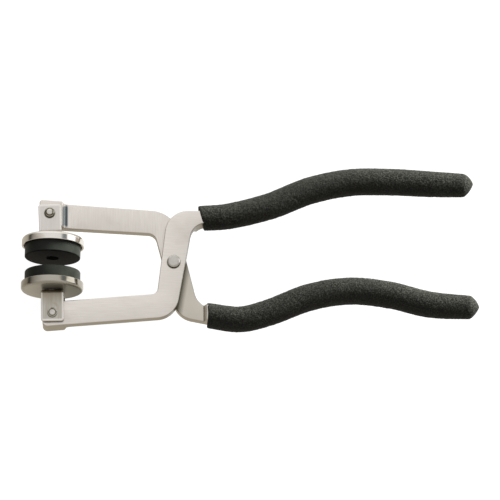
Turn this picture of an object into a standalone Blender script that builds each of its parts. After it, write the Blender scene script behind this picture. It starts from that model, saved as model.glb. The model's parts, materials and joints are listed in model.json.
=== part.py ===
"""Running pliers for scored glass: two crossing steel levers with a self-aligning rubber-faced head
on each jaw and a dipped vinyl grip on each handle.

Frame: the pliers lie on the rims of their cups. +X runs from the jaws to the handles, +Y from the
lower jaw to the upper one, +Z up along the pivot. The origin is under the middle of the object.
Outlines are given round the pivot, in millimetres.
"""
import math

import bmesh
import bpy
from mathutils import Matrix, Vector

MM = 0.001

# Levers
PIVOT_PLACE = Vector((-39.92, -7.81, 16.53)) * MM
PLATE_THICKNESS = 5.2 * MM
PLATE_GAP = 0.3 * MM
SIDE_GAP = 0.3 * MM
TIP_THICKNESS = 10.3 * MM
EDGE_BEVEL = 0.5 * MM
TANG_RADIUS = 3.2 * MM
TANG_RUN_IN = 2 * MM
TANG_SHORTER_THAN_GRIP = 9 * MM
TANG_END_GAP = 0.3 * MM
RELIEF_OVERSHOOT = 1.05 * MM
CUTTER_REACH = 60 * MM

# Corners (x, y, radius) of each lever round its plate, from the jaw tip to the neck and back
FRONT_LEVER_OUTLINE = (
    (-68.7, -35.4, 2.6), (0.95, -29.95, 12.0), (8.93, 15.98, 12.0), (14.1, 20.6, 0.0),
    (14.1, 21.3, 0.0), (14.5, 21.3, 0.0), (14.0, 27.9, 0.0), (-3.3, 27.9, 12.0),
    (-8.75, -17.5, 3.5), (-68.7, -22.2, 1.0),
)
REAR_LEVER_OUTLINE = (
    (-70.6, 20.5, 1.0), (-10.1, 16.8, 5.0), (1.7, -28.4, 12.0), (17.4, -31.6, 0.0),
    (18.2, -23.4, 0.0), (12.5, -22.2, 10.0), (-0.1, 28.7, 16.0), (-70.6, 34.1, 1.5),
)
# Where each plate is thinned to half: the x of the slope's ends at the tip and at the neck
FRONT_RELIEF = (-56.1, -54.1, 10.3, 11.6)
REAR_RELIEF = (-58.4, -55.3, 15.9, 17.3)

# Pivot rivet
PIVOT_SHANK_RADIUS = 2.6 * MM
PIVOT_HEAD_RADIUS = 3.4 * MM
PIVOT_HEAD_HEIGHT = 1.6 * MM
PIVOT_HEAD_EDGE = 0.9 * MM
RUNNING_GAP = 0.2 * MM

# Heads, seen from the clevis pin: the pad faces -Y, and each cup's back lies at its place (x, y)
UPPER_PIN = (-65.2, 26.4)
LOWER_PIN = (-63.5, -28.3)
UPPER_SWIVEL = math.radians(-2.0)
LOWER_SWIVEL = math.radians(180 - 1.0)
UPPER_CLEVIS_LEAN = math.radians(4.2)
LOWER_CLEVIS_LEAN = math.radians(2.0)
UPPER_CUP_PLACE = (2.2 * MM, -12.2 * MM)
LOWER_CUP_PLACE = (0.6 * MM, -13.5 * MM)
UPPER_WEB_STANDOFF = 0.95 * MM
LOWER_WEB_STANDOFF = 0.7 * MM
CUP_HEIGHT = 4.5 * MM
CUP_RADIUS = 16.4 * MM
CUP_WALL = 1.0 * MM
CUP_FLOOR = 1.2 * MM
CUP_EDGE_RADIUS = 1.8 * MM
PAD_RADIUS = 14.65 * MM
PAD_STANDS_OUT = 6.1 * MM
PAD_EDGE_RADIUS = 0.6 * MM
PAD_HOLE_RADIUS = 3.35 * MM
PAD_HOLE_DEPTH = 6.0 * MM

# Clevis of bent sheet
SHEET = 1.7 * MM
CLEVIS_WIDTH = 11.8 * MM
CLEVIS_BEND_RADIUS = 2.2 * MM
LEG_BEYOND_PIN = 4.6 * MM
SPACER_RADIUS = 4.2 * MM
SPACER_THICKNESS = 0.25 * MM

# Clevis pin
PIN_RADIUS = 1.6 * MM
PIN_HOLE_RADIUS = 1.8 * MM
BUTTON_RADIUS = 2.7 * MM
BUTTON_HEIGHT = 1.9 * MM
PEENED_RADIUS = 2.5 * MM
PEENED_HEIGHT = 0.7 * MM
PEENED_FLAT_RADIUS = 1.5 * MM

# Rivet that holds pad, cup and clevis together
PAD_RIVET_RADIUS = 1.7 * MM
PAD_RIVET_HOLE_RADIUS = 1.95 * MM
PAD_RIVET_HEAD_RADIUS = 3.0 * MM
PAD_RIVET_HEAD_HEIGHT = 1.6 * MM
PAD_RIVET_END_RADIUS = 2.6 * MM
PAD_RIVET_END_HEIGHT = 1.1 * MM
PAD_RIVET_EDGE = 0.5 * MM

# Grips: centre lines (x, y) of the two S-shaped handles
UPPER_HANDLE = (
    (14.6, 25.2), (29.4, 26.5), (50.4, 31.9), (71.4, 40.4), (92.4, 44.8),
    (113.4, 45.1), (134.4, 44.0), (157.2, 43.0),
)
LOWER_HANDLE = (
    (18.3, -28.0), (34.7, -30.0), (50.4, -26.1), (71.4, -17.9), (92.4, -14.6),
    (113.4, -16.8), (134.4, -22.0), (160.0, -23.8),
)
GRIP_START_RADIUS = 6.6 * MM
GRIP_MIDDLE_RADIUS = 7.15 * MM
GRIP_BORE_RADIUS = 3.5 * MM
GRIP_TAPER = 0.65 * MM
GRIP_TAPER_LENGTH = 32 * MM
GRIP_END_LENGTH = 5.4 * MM
GRIP_END_POWERS = (1.6, 1.3)
GRIP_END_STEPS = 5
STEPS_PER_HANDLE_POINT = 4

ARC_STEP = math.radians(22.5)
TURN_STEPS = 34
DOME_STEPS = 4
SMALL_TURN_STEPS = 18
BAR_ROUNDNESS = 4
WELD_DISTANCE = 0.002 * MM
TIGHT_GAP = 0.15 * MM
RIVET_SEAT_GAP = 0.38 * MM

STEEL_SATIN = ((0.62, 0.58, 0.55), 0.38, 1.0)
STEEL_POLISHED = ((0.68, 0.65, 0.61), 0.12, 1.0)
STEEL_RIVET = ((0.60, 0.58, 0.56), 0.30, 1.0)
RUBBER_BLACK = ((0.018, 0.019, 0.018), 0.62, 0.0)
VINYL_BLACK = ((0.022, 0.023, 0.020), 0.85, 0.0)


def start_empty_scene():
    """Removes every object and makes the collections for the parts and for the cutters."""
    for old in list(bpy.data.objects):
        bpy.data.objects.remove(old)
    made = []
    for name in ("running_pliers", "cutters"):
        collection = bpy.data.collections.new(name)
        bpy.context.scene.collection.children.link(collection)
        made.append(collection)
    return made


PARTS, CUTTERS = start_empty_scene()


def empty(name, place, turn=0.0, parent=None):
    """A joint axis along Z: what it carries is parented to it."""
    axis = bpy.data.objects.new(name, None)
    PARTS.objects.link(axis)
    axis.parent = parent
    axis.location = place
    axis.rotation_euler.z = turn
    bpy.context.view_layer.update()
    return axis


def rounded(corners, scale=1.0, closed=True):
    """The points of an outline whose corners (x, y, radius) are rounded by arcs."""
    points = []
    last = len(corners) - 1
    for index, (x, y, radius) in enumerate(corners):
        corner = Vector((x, y)) * scale
        if radius == 0 or (not closed and index in (0, last)):
            points.append(corner)
            continue
        before = (Vector(corners[index - 1][:2]) * scale - corner).normalized()
        after = (Vector(corners[(index + 1) % len(corners)][:2]) * scale - corner).normalized()
        half = before.angle(after) / 2
        reach = radius * scale / math.sin(half)
        centre = corner + (before + after).normalized() * reach
        spoke = corner + before * (reach * math.cos(half)) - centre
        sweep = math.copysign(math.pi - 2 * half, after.cross(before))
        steps = max(2, math.ceil(abs(sweep) / ARC_STEP))
        for step in range(steps + 1):
            points.append(centre + Matrix.Rotation(sweep * step / steps, 2) @ spoke)
    return points


def smooth_path(points, steps):
    """A Catmull-Rom curve through the points, with this many steps from one to the next."""
    ends = [2 * points[0] - points[1], *points, 2 * points[-1] - points[-2]]
    path = []
    for p0, p1, p2, p3 in zip(ends, ends[1:], ends[2:], ends[3:]):
        for step in range(steps):
            t = step / steps
            path.append(0.5 * (2 * p1 + (p2 - p0) * t + (2 * p0 - 5 * p1 + 4 * p2 - p3) * t ** 2
                               + (3 * p1 - p0 - 3 * p2 + p3) * t ** 3))
    return path + [points[-1]]


def add_mesh(name, mesh, parent, collection=None):
    """Puts a mesh in the scene under a joint axis."""
    made = bpy.data.objects.new(name, mesh)
    (collection or PARTS).objects.link(made)
    made.parent = parent
    return made


def curve_to_mesh(curve, name, parent, collection):
    """Turns a curve into a closed mesh object with outward faces."""
    source = bpy.data.objects.new(name + "_curve", curve)
    PARTS.objects.link(source)
    bpy.context.view_layer.update()
    evaluated = source.evaluated_get(bpy.context.evaluated_depsgraph_get())
    mesh = bpy.data.meshes.new_from_object(evaluated)
    bpy.data.objects.remove(source)
    mesh.name = name
    form = bmesh.new()
    form.from_mesh(mesh)
    bmesh.ops.remove_doubles(form, verts=form.verts, dist=WELD_DISTANCE)
    bmesh.ops.recalc_face_normals(form, faces=form.faces)
    form.to_mesh(mesh)
    form.free()
    return add_mesh(name, mesh, parent, collection)


def poly_curve(points, flat):
    """A curve with straight runs between the points: a closed flat outline or an open wire."""
    curve = bpy.data.curves.new("outline", 'CURVE')
    curve.dimensions = '2D' if flat else '3D'
    curve.fill_mode = 'BOTH' if flat else 'FULL'
    spline = curve.splines.new('POLY')
    spline.points.add(len(points) - 1)
    for place, point in zip(spline.points, points):
        place.co = (*point.to_3d(), 1.0)
    spline.use_cyclic_u = flat
    return curve


def plate(name, outline, low, high, parent, bevel=0.0, collection=None):
    """A flat piece with this outline between two heights, its edges bevelled."""
    curve = poly_curve(outline, flat=True)
    curve.extrude = (high - low) / 2 - bevel
    curve.bevel_depth = bevel
    curve.offset = -bevel
    curve.bevel_resolution = 0
    made = curve_to_mesh(curve, name, parent, collection)
    made.data.transform(Matrix.Translation((0, 0, (low + high) / 2)))
    return made


def bar(name, path, radii, parent, collection=None):
    """A round bar along a path with its own radius at each point."""
    curve = poly_curve(path, flat=False)
    curve.bevel_depth = MM
    curve.bevel_resolution = BAR_ROUNDNESS
    curve.use_fill_caps = True
    for place, radius in zip(curve.splines[0].points, radii):
        place.radius = radius / MM
    return curve_to_mesh(curve, name, parent, collection)


def turned(name, profile, parent, steps=TURN_STEPS, ring=False):
    """A solid turned about local Z. The profile's (radius, height) points run down its outer side."""
    mesh = bpy.data.meshes.new(name)
    edges = [(index, index + 1) for index in range(len(profile) - 1)]
    if ring:
        edges.append((len(profile) - 1, 0))
    mesh.from_pydata([(radius, 0, height) for radius, height in profile], edges, [])
    made = add_mesh(name, mesh, parent)
    screw = made.modifiers.new("turn", 'SCREW')
    screw.steps = steps
    screw.render_steps = steps
    screw.use_merge_vertices = True
    screw.merge_threshold = WELD_DISTANCE
    screw.use_smooth_shade = True
    return made


def cylinder_cutter(name, radius, low, high, parent):
    """A round cutter along Z."""
    form = bmesh.new()
    place = Matrix.Translation((0, 0, (low + high) / 2))
    bmesh.ops.create_cone(form, cap_ends=True, segments=SMALL_TURN_STEPS, radius1=radius,
                          radius2=radius, depth=high - low, matrix=place)
    mesh = bpy.data.meshes.new(name)
    form.to_mesh(mesh)
    form.free()
    return add_mesh(name, mesh, parent, CUTTERS)


def combine(target, tool, operation='DIFFERENCE'):
    """Cuts the tool out of the target, or joins it on, and hides the tool."""
    tool.hide_render = True
    tool.display_type = 'WIRE'
    step = target.modifiers.new(tool.name, 'BOOLEAN')
    step.operation = operation
    step.object = tool
    step.solver = 'EXACT'


def finish(made, look):
    """Gives a piece its own material with this colour, roughness and metallic value."""
    colour, roughness, metallic = look
    material = bpy.data.materials.new(made.name)
    material.use_nodes = True
    shader = material.node_tree.nodes["Principled BSDF"]
    shader.inputs["Base Color"].default_value = (*colour, 1.0)
    shader.inputs["Roughness"].default_value = roughness
    shader.inputs["Metallic"].default_value = metallic
    material.diffuse_color = (*colour, 1.0)
    made.data.materials.append(material)


def handle_path(points):
    """The smooth centre line of a handle."""
    return smooth_path([Vector(point) * MM for point in points], STEPS_PER_HANDLE_POINT)


def tang_path(handle):
    """The centre line of the round tang, which ends short of the grip's end."""
    path = handle_path(handle)
    end = max(index for index, point in enumerate(path)
              if point.x < path[-1].x - TANG_SHORTER_THAN_GRIP)
    run_in = (path[1] - path[0]).normalized() * TANG_RUN_IN
    return [path[0] - run_in] + path[:end + 1]


def make_lever(name, outline, relief, handle, front, axis, pin):
    """One lever: a plate that is thin where it crosses the other and thick at its tip and neck."""
    outer = PLATE_GAP / 2 + PLATE_THICKNESS
    inner = outer - TIP_THICKNESS
    side = 1 if front else -1
    low, high = sorted((side * inner, side * outer))
    lever = plate(name, rounded(outline, MM), low, high, axis, EDGE_BEVEL)

    face = side * PLATE_GAP / 2
    beyond = side * (inner - RELIEF_OVERSHOOT)
    tip_start, tip_end, neck_start, neck_end = (value * MM for value in relief)
    side_view = [Vector(p) for p in ((tip_start, beyond), (tip_end, face),
                                     (neck_start, face), (neck_end, beyond))]
    cutter = plate(name + "_relief", side_view, -CUTTER_REACH, CUTTER_REACH, axis,
                   collection=CUTTERS)
    cutter.rotation_euler.x = math.pi / 2
    combine(lever, cutter)

    path = tang_path(handle)
    tang = bar(name + "_tang", path, [TANG_RADIUS] * len(path), axis, CUTTERS)
    combine(lever, tang, 'UNION')

    span = TIP_THICKNESS
    pivot_hole = cylinder_cutter(name + "_pivot_hole", PIVOT_SHANK_RADIUS + RUNNING_GAP,
                                 -span, span, axis)
    pin_hole = cylinder_cutter(name + "_pin_hole", PIN_HOLE_RADIUS, -span, span, axis)
    pin_hole.location = (*pin, 0)
    combine(lever, pivot_hole)
    combine(lever, pin_hole)
    finish(lever, STEEL_SATIN)


def make_pivot_rivet(axis):
    """The rivet through both levers, with a flat round-edged head on each side."""
    seat = PLATE_GAP / 2 + PLATE_THICKNESS + RUNNING_GAP
    top = seat + PIVOT_HEAD_HEIGHT
    profile = rounded([
        (0, top, 0), (PIVOT_HEAD_RADIUS, top, PIVOT_HEAD_EDGE), (PIVOT_HEAD_RADIUS, seat, 0),
        (PIVOT_SHANK_RADIUS, seat, 0), (PIVOT_SHANK_RADIUS, -seat, 0),
        (PIVOT_HEAD_RADIUS, -seat, 0), (PIVOT_HEAD_RADIUS, -top, PIVOT_HEAD_EDGE), (0, -top, 0),
    ], closed=False)
    finish(turned("pivot_rivet", profile, axis, SMALL_TURN_STEPS), STEEL_RIVET)


def make_clevis_pin(name, axis, middle, button_up):
    """The rivet pin of a head: a domed button at one end, a peened flat end at the other."""
    seat = TIP_THICKNESS / 2 + SIDE_GAP + SHEET + RUNNING_GAP
    dome = [(BUTTON_RADIUS * math.sin(angle), seat + BUTTON_HEIGHT * math.cos(angle))
            for angle in (math.pi / 2 * step / DOME_STEPS for step in range(DOME_STEPS + 1))]
    profile = [Vector(point) for point in dome + [
        (PIN_RADIUS, seat), (PIN_RADIUS, -seat), (PEENED_RADIUS, -seat),
        (PEENED_RADIUS, -seat - PEENED_HEIGHT / 2), (PEENED_FLAT_RADIUS, -seat - PEENED_HEIGHT),
        (0, -seat - PEENED_HEIGHT)]]
    pin = turned(name, profile, axis, SMALL_TURN_STEPS)
    pin.location.z = middle
    if not button_up:
        pin.rotation_euler.x = math.pi
    finish(pin, STEEL_RIVET)


def make_clevis(name, head, lean, cup_place, standoff):
    """A U of bent sheet: two legs that straddle the jaw tip and a web that carries the cup."""
    clevis_axis = empty(name + "_lean", (0, 0, 0), lean, head)
    slot = TIP_THICKNESS / 2 + SIDE_GAP
    outer = slot + SHEET
    web_out = cup_place[1] + standoff
    web_in = web_out + SHEET
    inner_bend = CLEVIS_BEND_RADIUS - SHEET
    section = rounded([
        (LEG_BEYOND_PIN, outer, 0), (LEG_BEYOND_PIN, slot, 0), (web_in, slot, inner_bend),
        (web_in, -slot, inner_bend), (LEG_BEYOND_PIN, -slot, 0), (LEG_BEYOND_PIN, -outer, 0),
        (web_out, -outer, CLEVIS_BEND_RADIUS), (web_out, outer, CLEVIS_BEND_RADIUS),
    ])
    half = CLEVIS_WIDTH / 2
    clevis = plate(name, section, -half, half, clevis_axis)
    upright = Matrix(((0, 0, 1), (1, 0, 0), (0, 1, 0))).to_4x4()
    clevis.data.transform(upright)

    pin_hole = cylinder_cutter(name + "_pin_hole", PIN_HOLE_RADIUS, -outer * 2, outer * 2,
                               clevis_axis)
    rivet_hole = cylinder_cutter(name + "_rivet_hole", PAD_RIVET_HOLE_RADIUS,
                                 web_out - SHEET, web_in + SHEET, head)
    rivet_hole.rotation_euler.x = -math.pi / 2
    rivet_hole.location.x = cup_place[0]
    combine(clevis, pin_hole)
    combine(clevis, rivet_hole)
    finish(clevis, STEEL_SATIN)


def make_cup(name, axis):
    """A shallow dish with a rounded back edge and a hole for the rivet."""
    bore = PAD_RIVET_HOLE_RADIUS
    inside = CUP_RADIUS - CUP_WALL
    profile = rounded([
        (bore, 0, 0), (CUP_RADIUS, 0, CUP_EDGE_RADIUS), (CUP_RADIUS, -CUP_HEIGHT, 0),
        (inside, -CUP_HEIGHT, 0), (inside, -CUP_FLOOR, 0), (bore, -CUP_FLOOR, 0),
    ])
    finish(turned(name, profile, axis, ring=True), STEEL_POLISHED)


def make_pad(name, axis):
    """A rubber disc with a stepped hole: wide for the rivet's head, narrow for its shank."""
    back = -CUP_FLOOR - TIGHT_GAP
    face = -CUP_HEIGHT - PAD_STANDS_OUT
    ledge = face + PAD_HOLE_DEPTH
    bore = PAD_RIVET_HOLE_RADIUS
    profile = rounded([
        (bore, back, 0), (PAD_RADIUS, back, 0), (PAD_RADIUS, face, PAD_EDGE_RADIUS),
        (PAD_HOLE_RADIUS, face, 0), (PAD_HOLE_RADIUS, ledge, 0), (bore, ledge, 0),
    ])
    finish(turned(name, profile, axis, ring=True), RUBBER_BLACK)


def make_spacer(name, axis):
    """The thin washer between the cup's back and the clevis."""
    low = TIGHT_GAP
    high = low + SPACER_THICKNESS
    bore = PAD_RIVET_HOLE_RADIUS
    profile = [Vector(point) for point in (
        (bore, high), (SPACER_RADIUS, high), (SPACER_RADIUS, low), (bore, low))]
    finish(turned(name, profile, axis, SMALL_TURN_STEPS, ring=True), STEEL_SATIN)


def make_pad_rivet(name, axis, standoff):
    """The rivet from the bottom of the pad's hole to the inside of the clevis."""
    ledge = -CUP_HEIGHT - PAD_STANDS_OUT + PAD_HOLE_DEPTH - TIGHT_GAP
    head_end = ledge - PAD_RIVET_HEAD_HEIGHT
    seat = standoff + SHEET + RIVET_SEAT_GAP
    top = seat + PAD_RIVET_END_HEIGHT
    profile = rounded([
        (0, top, 0), (PAD_RIVET_END_RADIUS, top, PAD_RIVET_EDGE), (PAD_RIVET_END_RADIUS, seat, 0),
        (PAD_RIVET_RADIUS, seat, 0), (PAD_RIVET_RADIUS, ledge, 0),
        (PAD_RIVET_HEAD_RADIUS, ledge, 0), (PAD_RIVET_HEAD_RADIUS, head_end, PAD_RIVET_EDGE),
        (0, head_end, 0),
    ], closed=False)
    finish(turned(name, profile, axis, SMALL_TURN_STEPS), STEEL_RIVET)


def make_head(side, lever_axis, pin, middle, swivel, lean, cup_place, standoff):
    """Everything that swivels on one jaw's pin. The cup's axis is its own: +Z is out of its back."""
    head = empty(side + "_swivel", (*pin, middle), swivel, lever_axis)
    cup_axis = empty(side + "_cup_axis", (*cup_place, 0), 0.0, head)
    cup_axis.rotation_euler.x = -math.pi / 2
    make_clevis(side + "_clevis", head, lean, cup_place, standoff)
    make_spacer(side + "_spacer", cup_axis)
    make_cup(side + "_cup", cup_axis)
    make_pad(side + "_pad", cup_axis)
    make_pad_rivet(side + "_pad_rivet", cup_axis, standoff)


def make_grip(name, handle, axis):
    """A sleeve over the tang: fuller in its middle, thinner towards its blunt pointed end."""
    path = handle_path(handle)
    length = sum((b - a).length for a, b in zip(path, path[1:]))
    travelled = 0.0
    radii = []
    last = path[0]
    for point in path:
        travelled += (point - last).length
        last = point
        swell = math.sin(math.pi * travelled / length)
        thinning = max(0.0, 1 - (length - travelled) / GRIP_TAPER_LENGTH) ** 2
        radii.append(GRIP_START_RADIUS + (GRIP_MIDDLE_RADIUS - GRIP_START_RADIUS) * swell
                     - GRIP_TAPER * thinning)
    tip = (path[-1] - path[-2]).normalized()
    end_place = path.pop()
    end_radius = radii.pop()
    power, root = GRIP_END_POWERS
    for step in range(GRIP_END_STEPS):
        share = math.sin(math.pi / 2 * (step + 0.5) / GRIP_END_STEPS)
        path.append(end_place + tip * GRIP_END_LENGTH * (share - 1))
        radii.append(end_radius * (1 - share ** power) ** (1 / root))
    grip = bar(name, path, radii, axis)

    bore_path = tang_path(handle)
    beyond = (bore_path[-1] - bore_path[-2]).normalized() * TANG_END_GAP
    bore_path.append(bore_path[-1] + beyond)
    bore = bar(name + "_bore", bore_path, [GRIP_BORE_RADIUS] * len(bore_path), axis, CUTTERS)
    combine(grip, bore)
    finish(grip, VINYL_BLACK)


def make_pliers():
    """Both levers on the pivot, then the grips, the heads and their pins."""
    front = empty("front_lever_axis", PIVOT_PLACE)
    rear = empty("jaw_pivot", (0, 0, 0), 0.0, front)
    upper_pin = Vector(UPPER_PIN) * MM
    lower_pin = Vector(LOWER_PIN) * MM
    tip_middle = PLATE_GAP / 2 + PLATE_THICKNESS - TIP_THICKNESS / 2

    make_lever("front_lever", FRONT_LEVER_OUTLINE, FRONT_RELIEF, UPPER_HANDLE, True, front,
               lower_pin)
    make_lever("rear_lever", REAR_LEVER_OUTLINE, REAR_RELIEF, LOWER_HANDLE, False, rear,
               upper_pin)
    make_pivot_rivet(front)
    make_grip("upper_grip", UPPER_HANDLE, front)
    make_grip("lower_grip", LOWER_HANDLE, rear)

    make_head("upper", rear, upper_pin, -tip_middle, UPPER_SWIVEL, UPPER_CLEVIS_LEAN,
              UPPER_CUP_PLACE, UPPER_WEB_STANDOFF)
    make_head("lower", front, lower_pin, tip_middle, LOWER_SWIVEL, LOWER_CLEVIS_LEAN,
              LOWER_CUP_PLACE, LOWER_WEB_STANDOFF)
    for name, axis, pin, middle, button_up in (
            ("upper_clevis_pin", rear, upper_pin, -tip_middle, True),
            ("lower_clevis_pin", front, lower_pin, tip_middle, False)):
        pin_axis = empty(name + "_axis", (*pin, 0), 0.0, axis)
        make_clevis_pin(name, pin_axis, middle, button_up)


make_pliers()
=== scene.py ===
"""The looks of the running pliers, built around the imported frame.

Sizes are in millimetres round the pivot, as in the part's source; meshes are made in metres.
"""

import json
import math

import bmesh
import bpy
import numpy as np
from mathutils import Matrix, Vector, geometry, noise


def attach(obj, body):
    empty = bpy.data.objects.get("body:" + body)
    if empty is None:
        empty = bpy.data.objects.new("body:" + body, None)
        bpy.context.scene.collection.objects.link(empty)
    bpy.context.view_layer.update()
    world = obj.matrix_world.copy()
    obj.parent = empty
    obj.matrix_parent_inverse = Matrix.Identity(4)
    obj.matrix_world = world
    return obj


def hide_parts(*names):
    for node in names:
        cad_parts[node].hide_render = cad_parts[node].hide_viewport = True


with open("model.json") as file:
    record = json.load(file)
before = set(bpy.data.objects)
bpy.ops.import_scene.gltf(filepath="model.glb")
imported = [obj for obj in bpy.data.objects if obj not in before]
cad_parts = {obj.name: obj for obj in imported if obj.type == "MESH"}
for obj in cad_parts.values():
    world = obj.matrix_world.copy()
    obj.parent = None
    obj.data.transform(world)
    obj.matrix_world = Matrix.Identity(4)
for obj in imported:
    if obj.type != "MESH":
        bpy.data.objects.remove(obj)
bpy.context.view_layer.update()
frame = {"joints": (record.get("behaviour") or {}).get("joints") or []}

MM = 0.001
PIVOT = next(Vector(joint["pos_m"]) for joint in frame["joints"] if joint["name"] == "jaw_pivot")
AT_PIVOT = Matrix.Translation(PIVOT)

# Levers
PLATE_FACE = 0.15           # from the middle plane to the face that slides on the other lever
PLATE_OUTER = 5.35
THICK_INNER = -4.95         # the inner side of the thick tip and neck
EDGE_ROUNDING = 0.5
EDGE_STEPS = 6
OUTLINE_SPACING = 1.2
LEAST_SPACING = 0.02
MITRE_LIMIT = 0.3
INWARD_PROBE = 0.1
FLAT_FACE_WEIGHT = 80
NEARLY_NOTHING = 1e-6
MERGE_DISTANCE = 1e-5
FILL_INSIDE = 1             # keeps the triangles inside the border
ARC_STEP = math.radians(5)
LEVER_SHARP = math.radians(21)

# Corners (x, y, radius). Each neck runs on a little inside its grip.
FRONT_LEVER_OUTLINE = (
    (-68.7, -35.4, 2.6), (0.95, -29.95, 12.0), (9.87, 21.4, 9.0), (18.0, 21.3, 0.0),
    (17.5, 27.9, 0.0), (-3.3, 27.9, 12.0), (-8.75, -17.5, 3.5), (-68.7, -22.2, 1.0),
)
REAR_LEVER_OUTLINE = (
    (-70.6, 20.5, 1.0), (-10.1, 16.8, 5.0), (1.7, -28.4, 12.0), (20.9, -32.3, 0.0),
    (21.7, -24.1, 0.0), (12.5, -22.2, 10.0), (-0.1, 28.7, 16.0), (-70.6, 34.1, 1.5),
)
# The front lever's edge towards the handles, from its upper corner to its lower one
FRONT_EDGE = (Vector(FRONT_LEVER_OUTLINE[2][:2]), Vector(FRONT_LEVER_OUTLINE[1][:2]))
# painted light: faces are lighter towards their upper edges and darker towards their lower ones
PAINTED_DARK_SIDE = Vector((0.35, -0.94))  # faces are a little brighter away from this side

# The thinned side, from the tip: a steep wall, a short shallow ramp, and a steep step at the neck
PROFILE_ENDS = (-80, 40)
COVE_WALL_WIDTH = 1.2
COVE_RAMP_DEPTH = 0.68
COVE_RAMP_SLOPE = 0.42
COVE_FOOT_RADIUS = 0.8
COVE_LENGTH = 3.9
COVE_RAMP_RADIUS = 3.35
COVE_SHADE = (2.6, 0.7)     # where the ramp looks darkest, before the cove's end
COVE_STEP = math.radians(4)
STATION_SPACING = 1.5
STATION_CLEARANCE = 0.3
TIP_EDGE_ROUNDING = 0.45
NECK_STEP_WIDTH = 1.3
NECK_FOOT_RADIUS = 0.9
FRONT_COVE_START = -57.4
REAR_COVE_START = -58.7
FRONT_NECK_STEP = 10.3
REAR_NECK_STEP = 15.8
TANG_RADIUS = 3.2
TANG_POINTS = 24
TANG_STEPS = 8
TANG_SHORTER_THAN_GRIP = 9

# Fasteners
PIVOT_SHANK_RADIUS = 2.6
PIVOT_HOLE_RADIUS = 2.8
PIVOT_HOLE_POINTS = 48
PIVOT_HEAD_RADIUS = 3.4
PIVOT_HEAD_HEIGHT = 1.6
PIVOT_HEAD_FLAT_RADIUS = 2.55
PIVOT_HEAD_CHAMFER = 0.55
PIVOT_HEAD_ROUNDINGS = (0.35, 0.5, 0.15)    # from the flat top to the seat
# painted shade: the head's side is dark
PIVOT_HEAD_SHADE = (PIVOT_HEAD_RADIUS - 0.06, math.inf)
PIN_RADIUS = 1.6
PIN_HOLE_RADIUS = 1.8
PIN_HOLE_POINTS = 36
BUTTON_RADIUS = 2.7
BUTTON_HEIGHT = 1.9
BUTTON_BASE = 0.25
BUTTON_STEPS = 14
BUTTON_SKIRT = 0.2
# painted shade: the outer part of the button is dark
BUTTON_SHADE = (0.93 * BUTTON_RADIUS, math.inf)
PEENED_RADIUS = 2.5
PEENED_HEIGHT = 0.7
# Radius, depth and rounding: the peened end's rim, and a ring struck into it
PEENED_END = (
    (PEENED_RADIUS, 0.3, 0.25), (1.75, 0.0, 0.2), (1.5, 0.28, 0.12), (1.35, 0.05, 0.15), (0, 0, 0),
)
# painted shade: a dark ring on the peened end
PEENED_RING_SHADE = (1.62, 2.2)
PAD_RIVET_RADIUS = 1.7
PAD_RIVET_HOLE_RADIUS = 1.95
PAD_RIVET_HEAD_RADIUS = 3.0
PAD_RIVET_HEAD_HEIGHT = 1.6
PAD_RIVET_HEAD_ROUNDING = 0.7
PAD_RIVET_TAIL_RADIUS = 2.6
PAD_RIVET_TAIL_HEIGHT = 1.1
PAD_RIVET_TAIL_ROUNDING = 0.6
PAD_RIVET_TAIL_GAP = 0.38
RUNNING_GAP = 0.2
SEAT_ROUNDING = 0.1
PIVOT_RIVET_STEPS = 72
PAD_RIVET_STEPS = 48
SMALL_STEPS = 60            # round a pin or a spacer
DISC_STEPS = 144            # round a cup or a pad
CUTTER_POINTS = 40
TURNED_SHARP = math.radians(30)
PROFILE_STEP = math.radians(9)

# Heads, seen from the clevis pin: the pad faces -Y, and each cup's back lies at its place (x, y)
UPPER_PIN = (-65.2, 26.4)
LOWER_PIN = (-63.5, -28.3)
UPPER_SWIVEL = math.radians(-2.0)
LOWER_SWIVEL = math.radians(180 - 1.0)
UPPER_CLEVIS_LEAN = math.radians(4.2)
LOWER_CLEVIS_LEAN = math.radians(2.0)
UPPER_CUP_PLACE = (2.2, -12.2)
LOWER_CUP_PLACE = (0.6, -13.5)
UPPER_WEB_STANDOFF = 0.95
LOWER_WEB_STANDOFF = 0.7
HEAD_MIDDLE = 0.2           # how far each head's middle lies from the levers' middle plane
CUP_HEIGHT = 4.5
CUP_RADIUS = 16.4
CUP_WALL = 1.0
CUP_FLOOR = 1.2
CUP_EDGE_RADIUS = 1.8
CUP_RIM_RADIUS = 0.3
CUP_FLOOR_RADIUS = 0.5
PAD_RADIUS = 14.65
PAD_STANDS_OUT = 6.1
PAD_EDGE_RADIUS = 0.6
PAD_BACK_EDGE_RADIUS = 0.4
PAD_HOLE_EDGE_RADIUS = 0.25
PAD_HOLE_RADIUS = 3.35
PAD_HOLE_DEPTH = 6.0
SHEET = 1.7
CLEVIS_WIDTH = 11.8
CLEVIS_CORNER = 1.3
CLEVIS_EDGE = 0.5
CLEVIS_ROUNDING = 0.45
CLEVIS_EDGE_STEP = math.radians(22.5)
CLEVIS_BEND_RADIUS = 2.2
CLEVIS_BEND_STEP = math.radians(7.5)
CLEVIS_END_STEPS = (0.0, 0.06, 0.15, 0.28, 0.45, 0.7, 1.0, 1.3)
CLEVIS_SHARP = math.radians(32)
CLEVIS_WORN_EDGE = 1.1
CLEVIS_WEAR = 0.7
CLEVIS_WEAR_MARGIN = 0.01
LOWER_CLEVIS_SKEW = 0.05    # its far leg lies a little towards the pivot
CLEVIS_SLOT_HALF = 5.45
LEG_BEYOND_PIN = 4.6
PIN_HOLE_REACH = 12
SPACER_RADIUS = 4.2
SPACER_THICKNESS = 0.25
SPACER_ROUNDING = 0.08
TIGHT_GAP = 0.15

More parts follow.
